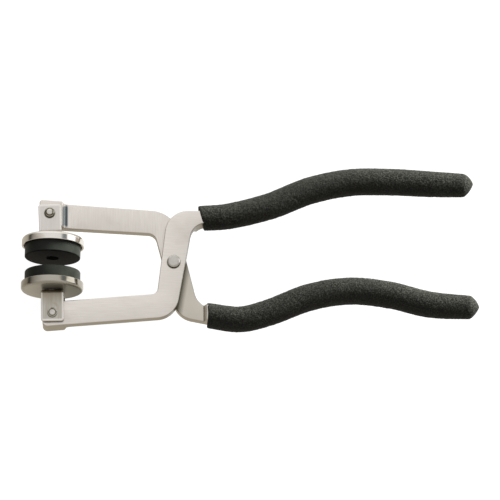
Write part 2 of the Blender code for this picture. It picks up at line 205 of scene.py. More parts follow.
# Grips: centre lines
UPPER_HANDLE = (
    (14.6, 25.2), (29.4, 26.5), (50.4, 31.9), (71.4, 40.4), (92.4, 44.8),
    (113.4, 45.1), (134.4, 44.0), (157.2, 43.0),
)
LOWER_HANDLE = (
    (18.3, -28.0), (34.7, -30.0), (50.4, -26.1), (71.4, -17.9), (92.4, -14.6),
    (113.4, -16.8), (134.4, -22.0), (160.0, -23.8),
)
GRIP_START_RADIUS = 6.6
GRIP_MIDDLE_RADIUS = 7.15
GRIP_BORE_RADIUS = 3.5
GRIP_TAPER = 0.65           # how much thinner the end is, over the last stretch
GRIP_TAPER_LENGTH = 32
GRIP_END_LENGTH = 5.4
GRIP_END_BLUNTNESS = (1.6, 1 / 1.3)     # powers that shape the end's profile
GRIP_END_RINGS = 24
GRIP_END_SMOOTHING = 0.6
GRIP_RING_SPACING = 0.4
GRIP_RING_POINTS = 112
GRIP_LINE_STEPS = 40
GRIP_DIRECTION_REACH = 0.6
UPPER_DROP_SHIFT = 1.0      # how far the end's point lies to one side
LOWER_DROP_SHIFT = 0.3
# Each rim's place along the handle: its level, its slant, and how hollow it is in front and behind
UPPER_MOUTH = (-0.45, -1.05, 0.0)
LOWER_MOUTH = (-0.3, -0.77, -0.7)
MOUTH_ROUNDING = 0.7
MOUTH_STEPS = 5
MOUTH_LEAN_LENGTH = 12.0
BORE_STEPS = 60
BORE_END_GAP = 0.4
PEBBLE_HEIGHT = 0.12
PEBBLE_FINE = 1.45
PEBBLE_COARSE = 0.55
PEBBLE_SHIFT = Vector((7.1, 3.3, 9.7))
PEBBLES_START = 2           # where the pebbles reach their full height


# ---- shape helpers

def rounded(corners, step=ARC_STEP, closed=True):
    """The points of an outline whose corners (x, y, radius) are rounded by arcs."""
    points = []
    last = len(corners) - 1
    for index, (x, y, radius) in enumerate(corners):
        corner = Vector((x, y))
        if radius == 0 or (not closed and index in (0, last)):
            points.append(corner)
            continue
        before = (Vector(corners[index - 1][:2]) - corner).normalized()
        after = (Vector(corners[(index + 1) % len(corners)][:2]) - corner).normalized()
        half = before.angle(after) / 2
        centre = corner + (before + after).normalized() * (radius / math.sin(half))
        spoke = corner + before * (radius / math.tan(half)) - centre
        sweep = math.copysign(math.pi - 2 * half, after.cross(before))
        steps = max(2, math.ceil(abs(sweep) / step))
        for count in range(steps + 1):
            points.append(centre + Matrix.Rotation(sweep * count / steps, 2) @ spoke)
    return points


def subdivided(points, spacing, stations=()):
    """The closed outline with extra points: none further apart than spacing, and one wherever it
    passes a station's x."""
    result = []
    for start, end in zip(points, points[1:] + points[:1]):
        run = end - start
        count = max(1, math.ceil(run.length / spacing))
        shares = {step / count for step in range(count)}
        if abs(run.x) > 1e-9:
            for station in stations:
                share = (station - start.x) / run.x
                if 0.0 < share < 1.0:
                    shares.add(share)
        kept = []
        for share in sorted(shares):
            if not kept or (share - kept[-1]) * run.length > LEAST_SPACING:
                kept.append(share)
        result.extend(start + run * share for share in kept)
    return result


def inset_loop(points, distance):
    """The closed counter-clockwise outline moved inwards by this distance."""
    moved = []
    for before, point, after in zip(points[-1:] + points[:-1], points, points[1:] + points[:1]):
        first = (point - before).normalized()
        second = (after - point).normalized()
        normal = Vector((-first.y - second.y, first.x + second.x)).normalized()
        reach = distance / max(MITRE_LIMIT, normal.dot(Vector((-first.y, first.x))))
        moved.append(point + normal * reach)
    return moved


def smooth_path(points, steps):
    """A Catmull-Rom curve through the points, with this many steps from one to the next."""
    ends = [2 * points[0] - points[1], *points, 2 * points[-1] - points[-2]]
    path = []
    for p0, p1, p2, p3 in zip(ends, ends[1:], ends[2:], ends[3:]):
        for step in range(steps):
            t = step / steps
            path.append(0.5 * (2 * p1 + (p2 - p0) * t + (2 * p0 - 5 * p1 + 4 * p2 - p3) * t ** 2
                               + (3 * p1 - p0 - 3 * p2 + p3) * t ** 3))
    return path + [points[-1]]


def across_path(path, index):
    """The unit vector to the left of a path at one of its points."""
    ahead = (path[min(index + 1, len(path) - 1)] - path[max(index - 1, 0)]).normalized()
    return Vector((-ahead.y, ahead.x))


def inside(point, loop):
    """True if the point lies within the closed loop."""
    found = False
    for a, b in zip(loop, loop[1:] + loop[:1]):
        if (a[1] > point[1]) != (b[1] > point[1]):
            if point[0] < (b[0] - a[0]) * (point[1] - a[1]) / (b[1] - a[1]) + a[0]:
                found = not found
    return found


def full_turn(count):
    """This many angles, evenly round a circle."""
    return [2 * math.pi * step / count for step in range(count)]


def quarter_turn(steps):
    """The angles from nought to a right angle in this many steps."""
    return [math.pi / 2 * step / steps for step in range(steps + 1)]


def circle(centre, radius, count):
    """The points of a circle."""
    return [Vector(centre) + Vector((math.cos(t), math.sin(t))) * radius for t in full_turn(count)]


def bridge(form, first, second):
    """Quads between two closed rows of vertices of the same length."""
    for index in range(len(first)):
        after = (index + 1) % len(first)
        form.faces.new((first[index], first[after], second[after], second[index]))


def skin(form, rows, capped=False):
    """Quads between all rows in turn, and a face at either end if it is capped."""
    for first, second in zip(rows, rows[1:]):
        bridge(form, first, second)
    if capped:
        form.faces.new(rows[0])
        form.faces.new(rows[-1])


def mesh_from(form, name, sharp_angle=None):
    """Turns the form into a mesh in metres, smooth but for edges above the sharp angle."""
    bmesh.ops.recalc_face_normals(form, faces=form.faces)
    mesh = bpy.data.meshes.new(name)
    form.to_mesh(mesh)
    form.free()
    mesh.transform(Matrix.Scale(MM, 4))
    mesh.shade_smooth()
    if sharp_angle is not None:
        mesh.set_sharp_from_angle(angle=sharp_angle)
    return mesh


def apply_modifiers(piece):
    """Replaces the object's mesh by its evaluated one and drops its modifiers."""
    bpy.context.view_layer.update()
    evaluated = piece.evaluated_get(bpy.context.evaluated_depsgraph_get())
    mesh = bpy.data.meshes.new_from_object(evaluated)
    piece.modifiers.clear()
    piece.data = mesh


def add_object(name, data, matrix=Matrix.Identity(4)):
    """A new object in the scene."""
    made = bpy.data.objects.new(name, data)
    bpy.context.scene.collection.objects.link(made)
    made.matrix_world = matrix
    return made


def place_piece(name, mesh, matrix, body, look, node):
    """Puts a piece in the scene: it rides on a body and stands for a CAD node."""
    piece = add_object(name, mesh, matrix)
    mesh.materials.append(look)
    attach(piece, body)
    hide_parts(node)
    return piece


def combine(piece, other, operation):
    """Adds a mesh in the piece's own coordinates to the piece, or cuts it away."""
    tool = add_object("tool", other, piece.matrix_world)
    step = piece.modifiers.new("combine", 'BOOLEAN')
    step.operation = operation
    step.object = tool
    apply_modifiers(piece)
    bpy.data.objects.remove(tool)


def even_normals(piece):
    """Lets large flat faces decide the normals at their rounded edges."""
    step = piece.modifiers.new("even_normals", 'WEIGHTED_NORMAL')
    step.keep_sharp = True
    step.weight = FLAT_FACE_WEIGHT


# ---- materials

# Metals
# narrow sides: duller and browner, partly their own finish and partly painted shade
SIDE_FINISH_AND_SHADE = (0.45, 0.405, 0.34)
# painted shade: the dark side colour of the pins, the rivet's heads and the lower clevis's inner
# side
SHADOWED_SIDE = (0.10, 0.09, 0.05)
# Tones of brushed steel: its light streaks, its dark ones, its sides
LEVER_TONES = ((0.73, 0.695, 0.66), (0.645, 0.61, 0.57), SIDE_FINISH_AND_SHADE)
CLEAN_TONES = ((0.66, 0.63, 0.60), (0.60, 0.57, 0.54), SIDE_FINISH_AND_SHADE)
DULL_TONES = ((0.50, 0.485, 0.455), (0.38, 0.35, 0.30), SHADOWED_SIDE)
PIN_TONES = ((0.62, 0.595, 0.57), (0.52, 0.49, 0.46), SHADOWED_SIDE)
PIVOT_TONES = ((0.56, 0.54, 0.52), (0.47, 0.45, 0.42), SHADOWED_SIDE)
WORN_EDGE = (0.80, 0.77, 0.74)
# painted shade on the narrow sides that face the handles
LEE_SHADE = (0.10, 0.092, 0.07)     # sides that face the handles
COVE_STEEL = (0.22, 0.24, 0.25)     # the shaded strip in the cove
# painted shadow cast by the front lever on the rear lever
CROSSING_SHADE = (0.53, 0.495, 0.44)
# painted shade and reflection towards the lower clevis's bend, by the cup
BEND_SHADE = (0.215, 0.185, 0.13)
BROWN_SPOTS = (0.30, 0.24, 0.16)
# the darkest painted shadow, by the front lever's edge and round pins and rivets
SHADOW_DARK = (0.075, 0.065, 0.035)
# Streaks run across or along the levers, or are even
ACROSS = (2600, 120, 2600)
ALONG = (120, 2600, 2600)
EVEN = (900, 900, 900)
HAIRLINES = (150, 150, 5000)
# Painted contact shadow round a rivet or pin: its middle, the radii where it is full and gone, its
# strength
PIVOT_SHADOW_RING = ((-0.1, -0.3), 3.4, 3.75, 0.85)
UPPER_PIN_SHADOW_RING = ((-0.05, -0.35), 2.7, 3.1, 0.9)
LOWER_PIN_SHADOW_RING = ((0.05, 0.15), 2.5, 2.8, 0.8)
SATIN = (0.26, 0.38)        # roughness of the smoothest and the roughest streaks
BRIGHT_SATIN = (0.12, 0.2)
COVE_POLISH = 0.35
# painted light: how much darker and lighter the faces are made
PAINTED_LIGHT_RANGE = (0.91, 1.09)
# Black pieces
RUBBER_DARK = (0.0045, 0.0052, 0.0040)
RUBBER_BLOOM = (0.0085, 0.0097, 0.0078)
# painted shade on the pad's face
RUBBER_FACE_SHADE = (0.0022, 0.0024, 0.0022)
VINYL_DARK = (0.0034, 0.0036, 0.0029)
VINYL_PEBBLE_TOP = (0.019, 0.0195, 0.0162)
VINYL_PATCH = (0.0060, 0.0062, 0.0052)
# How fine spots and grains are
CLOUDS = 22.0
STAINS = 70.0
PATCHES = 90.0
SMUDGES = 120.0
BLOOM = 160.0
SPOTS = 260.0
PEBBLES = 1700.0
GRAIN = 1800.0


def new_material(name, metallic=0.0):
    material = bpy.data.materials.new(name)
    material.use_nodes = True
    shader = material.node_tree.nodes["Principled BSDF"]
    shader.inputs["Metallic"].default_value = metallic
    return material, material.node_tree, shader


def own_place(tree, kind="Object"):
    """The point in the piece's own coordinates, in metres, or in another kind of coordinates."""
    return tree.nodes.new("ShaderNodeTexCoord").outputs[kind]


def noise_at(tree, scale, stretch=(1, 1, 1), detail=3.0, distortion=0.0):
    """Noise in the piece's own coordinates, drawn out by a different amount along each axis."""
    mapping = tree.nodes.new("ShaderNodeMapping")
    mapping.inputs["Scale"].default_value = stretch
    texture = tree.nodes.new("ShaderNodeTexNoise")
    for socket, value in (("Scale", scale), ("Detail", detail), ("Distortion", distortion)):
        texture.inputs[socket].default_value = value
    tree.links.new(own_place(tree), mapping.inputs["Vector"])
    tree.links.new(mapping.outputs["Vector"], texture.inputs["Vector"])
    return texture.outputs["Fac"]


def remap(tree, value, low, high, new_low=0, new_high=1):
    node = tree.nodes.new("ShaderNodeMapRange")
    for socket, number in zip(("From Min", "From Max", "To Min", "To Max"),
                              (low, high, new_low, new_high)):
        node.inputs[socket].default_value = number
    tree.links.new(value, node.inputs["Value"])
    return node.outputs["Result"]


def mix_colour(tree, share, first, second, blend='MIX'):
    node = tree.nodes.new("ShaderNodeMix")
    node.data_type = 'RGBA'
    node.blend_type = blend
    for socket, value in ((node.inputs["Factor"], share), (node.inputs[6], first),
                          (node.inputs[7], second)):
        if isinstance(value, bpy.types.NodeSocket):
            tree.links.new(value, socket)
        elif isinstance(value, (tuple, list)):
            socket.default_value = (*value, 1.0)
        else:
            socket.default_value = value
    return node.outputs[2]


def attribute_value(tree, name):
    node = tree.nodes.new("ShaderNodeAttribute")
    node.attribute_name = name
    return node.outputs["Fac"]


def dress(tree, shader, colour, roughness, height, strength, distance):
    """Gives a shader its colour, its roughness and its bumps."""
    tree.links.new(colour, shader.inputs["Base Color"])
    tree.links.new(roughness, shader.inputs["Roughness"])
    bump = tree.nodes.new("ShaderNodeBump")
    bump.inputs["Strength"].default_value = strength
    bump.inputs["Distance"].default_value = distance
    tree.links.new(height, bump.inputs["Height"])
    tree.links.new(bump.outputs["Normal"], shader.inputs["Normal"])


def local_place(tree, kind="Object"):
    """The same point's X, Y and Z."""
    parts = tree.nodes.new("ShaderNodeSeparateXYZ")
    tree.links.new(own_place(tree, kind), parts.inputs[0])
    return parts.outputs


def vector_math(tree, operation, first, second=(0, 0, 0)):
    node = tree.nodes.new("ShaderNodeVectorMath")
    node.operation = operation
    tree.links.new(first, node.inputs[0])
    node.inputs[1].default_value = second
    return node.outputs["Value" if operation in ('DOT_PRODUCT', 'LENGTH') else "Vector"]


def along_direction(tree, direction, origin):
    """How far the point lies along a direction from an origin, in metres of the piece's own."""
    offset = vector_math(tree, 'SUBTRACT', own_place(tree), Vector((*origin, 0)) * MM)
    return vector_math(tree, 'DOT_PRODUCT', offset, (*direction, 0))


def times(tree, first, second):
    node = tree.nodes.new("ShaderNodeMath")
    node.operation = 'MULTIPLY'
    tree.links.new(first, node.inputs[0])
    tree.links.new(second, node.inputs[1])
    return node.outputs["Value"]


def contact_shadow_ring(tree, colour, origin, inner, outer, strength):
    """Paints a ring of contact shadow round a pin or rivet."""
    offset = vector_math(tree, 'SUBTRACT', own_place(tree), Vector((*origin, 0)) * MM)
    distance = vector_math(tree, 'LENGTH', vector_math(tree, 'MULTIPLY', offset, (1, 1, 0)))
    share = remap(tree, distance, inner * MM, outer * MM, strength, 0)
    return mix_colour(tree, share, colour, SHADOW_DARK)


def satin_steel(name, streak_stretch, tones, shade_and_stains=None, shade_marks=None, rough=SATIN):
    """Brushed steel: fine streaks one way, faint stains, duller browner sides that are partly
    painted shade, painted light across the faces, and a smoother cove with a shaded strip.
    """
    light, dark, side = tones
    material, tree, shader = new_material(name, metallic=1.0)
    streaks = noise_at(tree, 1.0, streak_stretch, 4.0)
    stains = noise_at(tree, STAINS, detail=4.0, distortion=0.6)
    clouds = noise_at(tree, CLOUDS, detail=2.0)
    face = mix_colour(tree, remap(tree, streaks, 0.3, 0.7), light, dark)
    face = mix_colour(tree, remap(tree, stains, 0.52, 0.75, 0, 0.35), face, side)
    face = mix_colour(tree, remap(tree, clouds, 0.35, 0.7, 0, 0.5), face, dark)
    if shade_and_stains:
        face = shade_and_stains(tree, face)
    # painted contact shadow round a pin or rivet
    if shade_marks:
        face = contact_shadow_ring(tree, face, *shade_marks)
    # painted light across the faces
    painted_light = remap(tree, attribute_value(tree, "painted_light"), -1, 1, *PAINTED_LIGHT_RANGE)
    face = mix_colour(tree, 1.0, face, painted_light, 'MULTIPLY')
    face = mix_colour(tree, attribute_value(tree, "edge"), face, WORN_EDGE)
    # painted shade on sides that face the handles
    dimmed = mix_colour(tree, attribute_value(tree, "lee"), side, LEE_SHADE)
    colour = mix_colour(tree, attribute_value(tree, "side"), face, dimmed)
    colour = mix_colour(tree, attribute_value(tree, "shade"), colour, COVE_STEEL)
    streaky = remap(tree, streaks, 0.2, 0.8, *rough)
    polish = remap(tree, attribute_value(tree, "polish"), 0, 1, 1, COVE_POLISH)
    dress(tree, shader, colour, times(tree, streaky, polish), streaks, 0.25, 0.04 * MM)
    return material


def crossing_shadow(tree, colour):
    """Painted shadow of the front lever: darker beyond its edge, and darkest close to it."""
    start, end = FRONT_EDGE
    run = (end - start).normalized()
    beyond = along_direction(tree, (-run.y, run.x), start)
    shadowed = mix_colour(tree, remap(tree, beyond, 0, 1.5 * MM), colour, CROSSING_SHADE)
    fading = remap(tree, beyond, -0.3 * MM, 3.2 * MM, 0.95, 0)
    rising = remap(tree, beyond, -1.5 * MM, -0.5 * MM)
    return mix_colour(tree, times(tree, fading, rising), shadowed, SHADOW_DARK)


def lower_clevis_shade_and_spots(tree, colour):
    """Painted shade and reflection, warm and darker towards the bend, and brown spots."""
    bend_shade_share = remap(tree, local_place(tree)["Y"], -13 * MM, -3 * MM, 0.95, 0.0)
    spots = noise_at(tree, SPOTS)
    colour = mix_colour(tree, bend_shade_share, colour, BEND_SHADE)
    return mix_colour(tree, remap(tree, spots, 0.58, 0.72, 0, 0.55), colour, BROWN_SPOTS)


def polished_steel(name, light, smudge, back, back_metal):
    """Polished steel with faint hairlines and a few smudges. The cup's back is duller, and blends
    from one colour to another along its own X, which on the lower cup is painted shade."""
    material, tree, shader = new_material(name)
    smudges = noise_at(tree, SMUDGES, detail=4.0, distortion=0.8)
    hairlines = noise_at(tree, 1.0, HAIRLINES)
    colour = mix_colour(tree, remap(tree, smudges, 0.45, 0.75), light, smudge)
    place = local_place(tree)
    back_tone_and_shade = mix_colour(tree, remap(tree, place["X"], -12 * MM, 12 * MM), *back)
    on_back = remap(tree, place["Z"], -1.2 * MM, -0.2 * MM)
    colour = mix_colour(tree, on_back, colour, back_tone_and_shade)
    rough = mix_colour(tree, on_back, remap(tree, smudges, 0.3, 0.8, 0.09, 0.2), (0.3, 0.3, 0.3))
    tree.links.new(remap(tree, on_back, 0, 1, 1.0, back_metal), shader.inputs["Metallic"])
    dress(tree, shader, colour, rough, hairlines, 0.1, 0.02 * MM)
    return material


def black_rubber(name):
    """Moulded rubber: a faint bloom and fine grain on its side, and a matt face painted darker as
    shade.
    """
    material, tree, shader = new_material(name)
    grain = noise_at(tree, GRAIN)
    bloom = remap(tree, noise_at(tree, BLOOM), 0.3, 0.75)
    face = -(CUP_HEIGHT + PAD_STANDS_OUT) * MM
    on_side = remap(tree, local_place(tree)["Z"], face + 0.1 * MM, face + 0.6 * MM)
    # the pad's face is painted darker, as shade
    colour = mix_colour(tree, on_side, RUBBER_FACE_SHADE,
                        mix_colour(tree, bloom, RUBBER_DARK, RUBBER_BLOOM))
    tree.links.new(remap(tree, on_side, 0, 1, 0.03, 0.16), shader.inputs["Specular IOR Level"])
    dress(tree, shader, colour, remap(tree, grain, 0.3, 0.7, 0.4, 0.6), grain, 0.3, 0.06 * MM)
    return material


def grip_vinyl(name):
    """Cushioned vinyl with a pebbled skin: the tops of the pebbles are lighter."""
    material, tree, shader = new_material(name)
    shader.inputs["Specular IOR Level"].default_value = 0.1
    pebbles = noise_at(tree, PEBBLES, detail=2.0)
    patches = noise_at(tree, PATCHES)
    colour = mix_colour(tree, remap(tree, pebbles, 0.45, 0.62), VINYL_DARK, VINYL_PEBBLE_TOP)
    colour = mix_colour(tree, remap(tree, patches, 0.35, 0.7, 0, 0.4), colour, VINYL_PATCH)
    dress(tree, shader, colour, remap(tree, pebbles, 0.3, 0.7, 0.45, 0.7), pebbles, 0.8, 0.2 * MM)
    return material


REAR_STEEL = satin_steel("rear_lever_steel", ACROSS, LEVER_TONES, shade_and_stains=crossing_shadow)
FRONT_STEEL = satin_steel("front_lever_steel", ALONG, LEVER_TONES, shade_marks=PIVOT_SHADOW_RING)
UPPER_CLEVIS_STEEL = satin_steel("upper_clevis_steel", ACROSS, CLEAN_TONES, shade_marks=UPPER_PIN_SHADOW_RING)
LOWER_CLEVIS_STEEL = satin_steel("lower_clevis_steel", ACROSS, DULL_TONES, lower_clevis_shade_and_spots,
                                 LOWER_PIN_SHADOW_RING)
UPPER_CUP_STEEL = polished_steel("upper_cup_steel", (0.74, 0.71, 0.67), (0.58, 0.53, 0.47),
                                 ((0.54, 0.505, 0.455),) * 2, 1.0)
# painted shade: the lower cup is a darker copy of the upper cup's steel, and its back is darkest
# towards its own -X
LOWER_CUP_SHADED_STEEL = polished_steel("lower_cup_shaded_steel", (0.40, 0.375, 0.33), (0.30, 0.27, 0.22),
                                 ((0.13, 0.12, 0.085), (0.40, 0.37, 0.31)), 0.6)
RIVET_STEEL = satin_steel("rivet_steel", EVEN, PIN_TONES, rough=BRIGHT_SATIN)
PIVOT_STEEL = satin_steel("pivot_rivet_steel", EVEN, PIVOT_TONES)
RUBBER = black_rubber("pad_rubber")
VINYL = grip_vinyl("grip_vinyl")


# ---- levers

def cove_profile(cove_start, neck_step):
    """The inner side of a lever seen from its edge: (x, height) points from the tip to the neck."""
    foot = PLATE_FACE - COVE_RAMP_DEPTH
    wall_end = cove_start + COVE_WALL_WIDTH
    ramp_end = wall_end + COVE_RAMP_DEPTH / COVE_RAMP_SLOPE
    neck_end = neck_step + NECK_STEP_WIDTH
    return rounded([
        (PROFILE_ENDS[0], THICK_INNER, 0), (cove_start, THICK_INNER, TIP_EDGE_ROUNDING),
        (wall_end, foot, COVE_FOOT_RADIUS), (ramp_end, PLATE_FACE, COVE_RAMP_RADIUS),
        (neck_step, PLATE_FACE, NECK_FOOT_RADIUS), (neck_end, THICK_INNER, TIP_EDGE_ROUNDING),
        (PROFILE_ENDS[1], THICK_INNER, 0),
    ], COVE_STEP, closed=False)


def lever_form(outline, profile, front, pin):
    """The lever as a bmesh. Its attributes: side is 1 on the narrow sides, crown and lee tell which
    way an edge looks (crown for painted light across the faces, lee for painted shade on sides that
    face the handles), polish marks the cove and shade its dark strip."""
    side = 1 if front else -1
    stations = [point.x for point in profile]
    heights = [point.y for point in profile]

    def outer(_):
        return PLATE_OUTER

    def inner(x):
        return float(np.interp(x, stations, heights))

    loop = subdivided(rounded(outline), OUTLINE_SPACING, stations)
    if sum(a.cross(b) for a, b in zip(loop, loop[1:] + loop[:1])) < 0:
        loop.reverse()
    form = bmesh.new()
    mark, polish, shade, painted_light, lee = (form.verts.layers.float.new(name)
                                       for name in ("side", "polish", "shade", "painted_light", "lee"))
    cove_from, cove_to = stations[1], stations[1] + COVE_LENGTH
    shade_from, shade_to = (cove_to - before for before in COVE_SHADE)
    inward = [(inner_point - point).normalized()
              for point, inner_point in zip(loop, inset_loop(loop, INWARD_PROBE))]

    def add_row(points, height, share, shift=0.0, at_rim=False):
        """A row of vertices over these points."""
        row = []
        within = height is inner and not at_rim
        for index, point in enumerate(points):
            vertex = form.verts.new((point.x, point.y, side * (height(point.x) + shift)))
            vertex[mark] = share
            vertex[polish] = float(within and cove_from < point.x < cove_to)
            vertex[shade] = float(within and shade_from < point.x < shade_to)
            if at_rim:
                # painted light and shade: which way this edge looks
                vertex[painted_light] = inward[index].dot(PAINTED_DARK_SIDE)
                vertex[lee] = max(0.0, -inward[index].x)
            row.append(vertex)
        return row

    rim = quarter_turn(EDGE_STEPS)
    rows = []
    for height, angles, direction in ((outer, rim, -1), (inner, rim[::-1], 1)):
        for angle in angles:
            points = inset_loop(loop, EDGE_ROUNDING * (1 - math.sin(angle)))
            drop = EDGE_ROUNDING * (1 - math.cos(angle))
            rows.append(add_row(points, height, math.sin(angle) ** 2, direction * drop, True))
    skin(form, rows)

    rings, tops, bottoms = [], [], []
    for centre, radius, count in (((0, 0), PIVOT_HOLE_RADIUS, PIVOT_HOLE_POINTS),
                                  (pin, PIN_HOLE_RADIUS, PIN_HOLE_POINTS)):
        ring = circle(centre, radius, count)
        top = add_row(ring, outer, 0)
        bottom = add_row(ring, inner, 0)
        bridge(form, top, bottom)
        rings.append(ring)
        tops += top
        bottoms += bottom

    outer_edge, inner_edge = ([Vector(vertex.co[:2]) for vertex in row]
                              for row in (rows[0], rows[-1]))
    fill_face(form, outer_edge, rings, rows[0] + tops)
    spread = [point for station in stations
              for point in station_points(station, inner_edge, rings)]
    fill_face(form, inner_edge, rings, rows[-1] + bottoms + add_row(spread, inner, 0))
    return form


def station_points(x, edge, holes):
    """Points across the face at this x, clear of its border and of its holes."""
    crossings = sorted(a.y + (b.y - a.y) * (x - a.x) / (b.x - a.x)
                       for a, b in zip(edge, edge[1:] + edge[:1]) if (a.x > x) != (b.x > x))
    points = []
    for low, high in zip(crossings[::2], crossings[1::2]):
        count = max(1, math.ceil((high - low) / STATION_SPACING))
        for step in range(1, count):
            point = Vector((x, low + (high - low) * step / count))
            if not any(inside(point, ring)
                       or min((point - spot).length for spot in ring) <= STATION_CLEARANCE
                       for ring in holes):
                points.append(point)
    return points


def fill_face(form, edge, holes, vertices):
    """Fills a flat or curved face between its border and its holes with triangles."""
    flat = [Vector(vertex.co[:2]) for vertex in vertices]
    edges = []
    start = 0
    for ring in [edge] + holes:
        count = len(ring)
        edges += [(start + index, start + (index + 1) % count) for index in range(count)]
        start += count
    _, _, faces, originals, *_ = geometry.delaunay_2d_cdt(flat, edges, [], FILL_INSIDE,
                                                          MERGE_DISTANCE)
    for face in faces:
        corners = [originals[index][0] for index in face]
        middle = sum((flat[index] for index in corners), Vector((0, 0))) / 3
        if inside(middle, edge) and not any(inside(middle, ring) for ring in holes):
            form.faces.new([vertices[index] for index in corners])


def tang_mesh(handle):
    """The round bar inside the grip."""
    path = smooth_path([Vector(point) for point in handle], TANG_STEPS)
    end = max(index for index, point in enumerate(path)
              if point.x < path[-1].x - TANG_SHORTER_THAN_GRIP)
    path = path[:end + 1]
    form = bmesh.new()
    rows = []
    for index, point in enumerate(path):
        across = across_path(path, index)
        rows.append([form.verts.new((point + across * TANG_RADIUS * math.cos(t)).to_3d()
                                    + Vector((0, 0, TANG_RADIUS * math.sin(t))))
                     for t in full_turn(TANG_POINTS)])
    skin(form, rows, capped=True)
    return mesh_from(form, "tang")


def make_lever(name, outline, cove_start, neck_step, front, pin, handle, body, look, node):
    """A flat lever, with its tang joined to its neck."""
    mesh = mesh_from(lever_form(outline, cove_profile(cove_start, neck_step), front, pin), name)
    lever = place_piece(name, mesh, AT_PIVOT, body, look, node)
    combine(lever, tang_mesh(handle), 'UNION')
    lever.data.set_sharp_from_angle(angle=LEVER_SHARP)
    even_normals(lever)


# ---- turned pieces

def turned_mesh(name, profile, steps, ring=False, shade_marks=()):
    """A solid turned about local Z from (radius, height) points; between each listed pair of (low,
    high) radii it is marked to take its steel's painted shade."""
    form = bmesh.new()
    shade_layer = form.verts.layers.float.new("side")
    rows = []
    for radius, height in profile:
        if radius < NEARLY_NOTHING:
            rows.append([form.verts.new((0, 0, height))])
            continue
        rows.append([form.verts.new((radius * math.cos(t), radius * math.sin(t), height))
                     for t in full_turn(steps)])
        for vertex in rows[-1]:
            vertex[shade_layer] = float(any(low < radius < high for low, high in shade_marks))
    pairs = list(zip(rows, rows[1:]))
    if ring:
        pairs.append((rows[-1], rows[0]))
    for first, second in pairs:
        if len(first) == 1 or len(second) == 1:
            tip, row = (first[0], second) if len(first) == 1 else (second[0], first)
            for index in range(steps):
                form.faces.new((tip, row[index], row[(index + 1) % steps]))
        else:
            bridge(form, first, second)
    return mesh_from(form, name, TURNED_SHARP)


def smooth_profile(corners, closed=False):
    """(radius, height) points from (radius, height, rounding) corners."""
    return rounded(corners, PROFILE_STEP, closed)


def make_pivot_rivet():
    """The rivet has the same head at both ends."""
    seat = PLATE_OUTER + RUNNING_GAP
    top = seat + PIVOT_HEAD_HEIGHT
    at_flat, at_edge, at_seat = PIVOT_HEAD_ROUNDINGS
    half = [(0, top, 0), (PIVOT_HEAD_FLAT_RADIUS, top, at_flat),
            (PIVOT_HEAD_RADIUS, top - PIVOT_HEAD_CHAMFER, at_edge),
            (PIVOT_HEAD_RADIUS, seat, at_seat), (PIVOT_SHANK_RADIUS, seat, 0)]
    other_half = [(radius, -height, rounding) for radius, height, rounding in reversed(half)]
    mesh = turned_mesh("pivot_rivet", smooth_profile(half + other_half), PIVOT_RIVET_STEPS,
                       shade_marks=[PIVOT_HEAD_SHADE])
    even_normals(place_piece("pivot_rivet_turned", mesh, AT_PIVOT, "front_half",
                             PIVOT_STEEL, "pivot_rivet"))


def make_clevis_pin(side, pin, middle, button_up, body):
    """A pin with a domed button at one end and a peened, ringed end at the other."""
    seat = CLEVIS_SLOT_HALF + SHEET + RUNNING_GAP
    end = -seat - PEENED_HEIGHT
    dome = [(BUTTON_RADIUS * math.sin(angle),
             seat + BUTTON_BASE + (BUTTON_HEIGHT - BUTTON_BASE) * math.cos(angle))
            for angle in quarter_turn(BUTTON_STEPS)]
    rest = smooth_profile([
        (BUTTON_RADIUS, seat + BUTTON_SKIRT, 0), (BUTTON_RADIUS, seat, SEAT_ROUNDING),
        (PIN_RADIUS, seat, 0), (PIN_RADIUS, -seat, 0), (PEENED_RADIUS, -seat, SEAT_ROUNDING),
        *((radius, end + depth, rounding) for radius, depth, rounding in PEENED_END)])
    mesh = turned_mesh(side + "_clevis_pin", dome + rest, SMALL_STEPS,
                       shade_marks=[PEENED_RING_SHADE, BUTTON_SHADE])
    place = Matrix.Translation(PIVOT + Vector((*pin, middle)) * MM)
    if not button_up:
        place = place @ Matrix.Rotation(math.pi, 4, 'X')
    even_normals(place_piece(side + "_clevis_pin_turned", mesh, place, body,
                             RIVET_STEEL, side + "_clevis_pin"))


# ---- heads

def corner_drop(radius, travelled):
    """How far a rounded corner has still fallen back, this far from the sheet's end."""
    return radius - math.sqrt(radius ** 2 - max(0.0, radius - travelled) ** 2)


def clevis_section(half, thick):
    """Across the sheet: its edges are rounded, and it has points where the worn strip along its
    edges ends.
    """
    plain = half - CLEVIS_WORN_EDGE
    row = [(half, CLEVIS_ROUNDING), (plain, 0), (-plain, 0), (-half, CLEVIS_ROUNDING)]
    return rounded([(x, thick, rounding) for x, rounding in row]
                   + [(x, -thick, rounding) for x, rounding in reversed(row)], CLEVIS_EDGE_STEP)


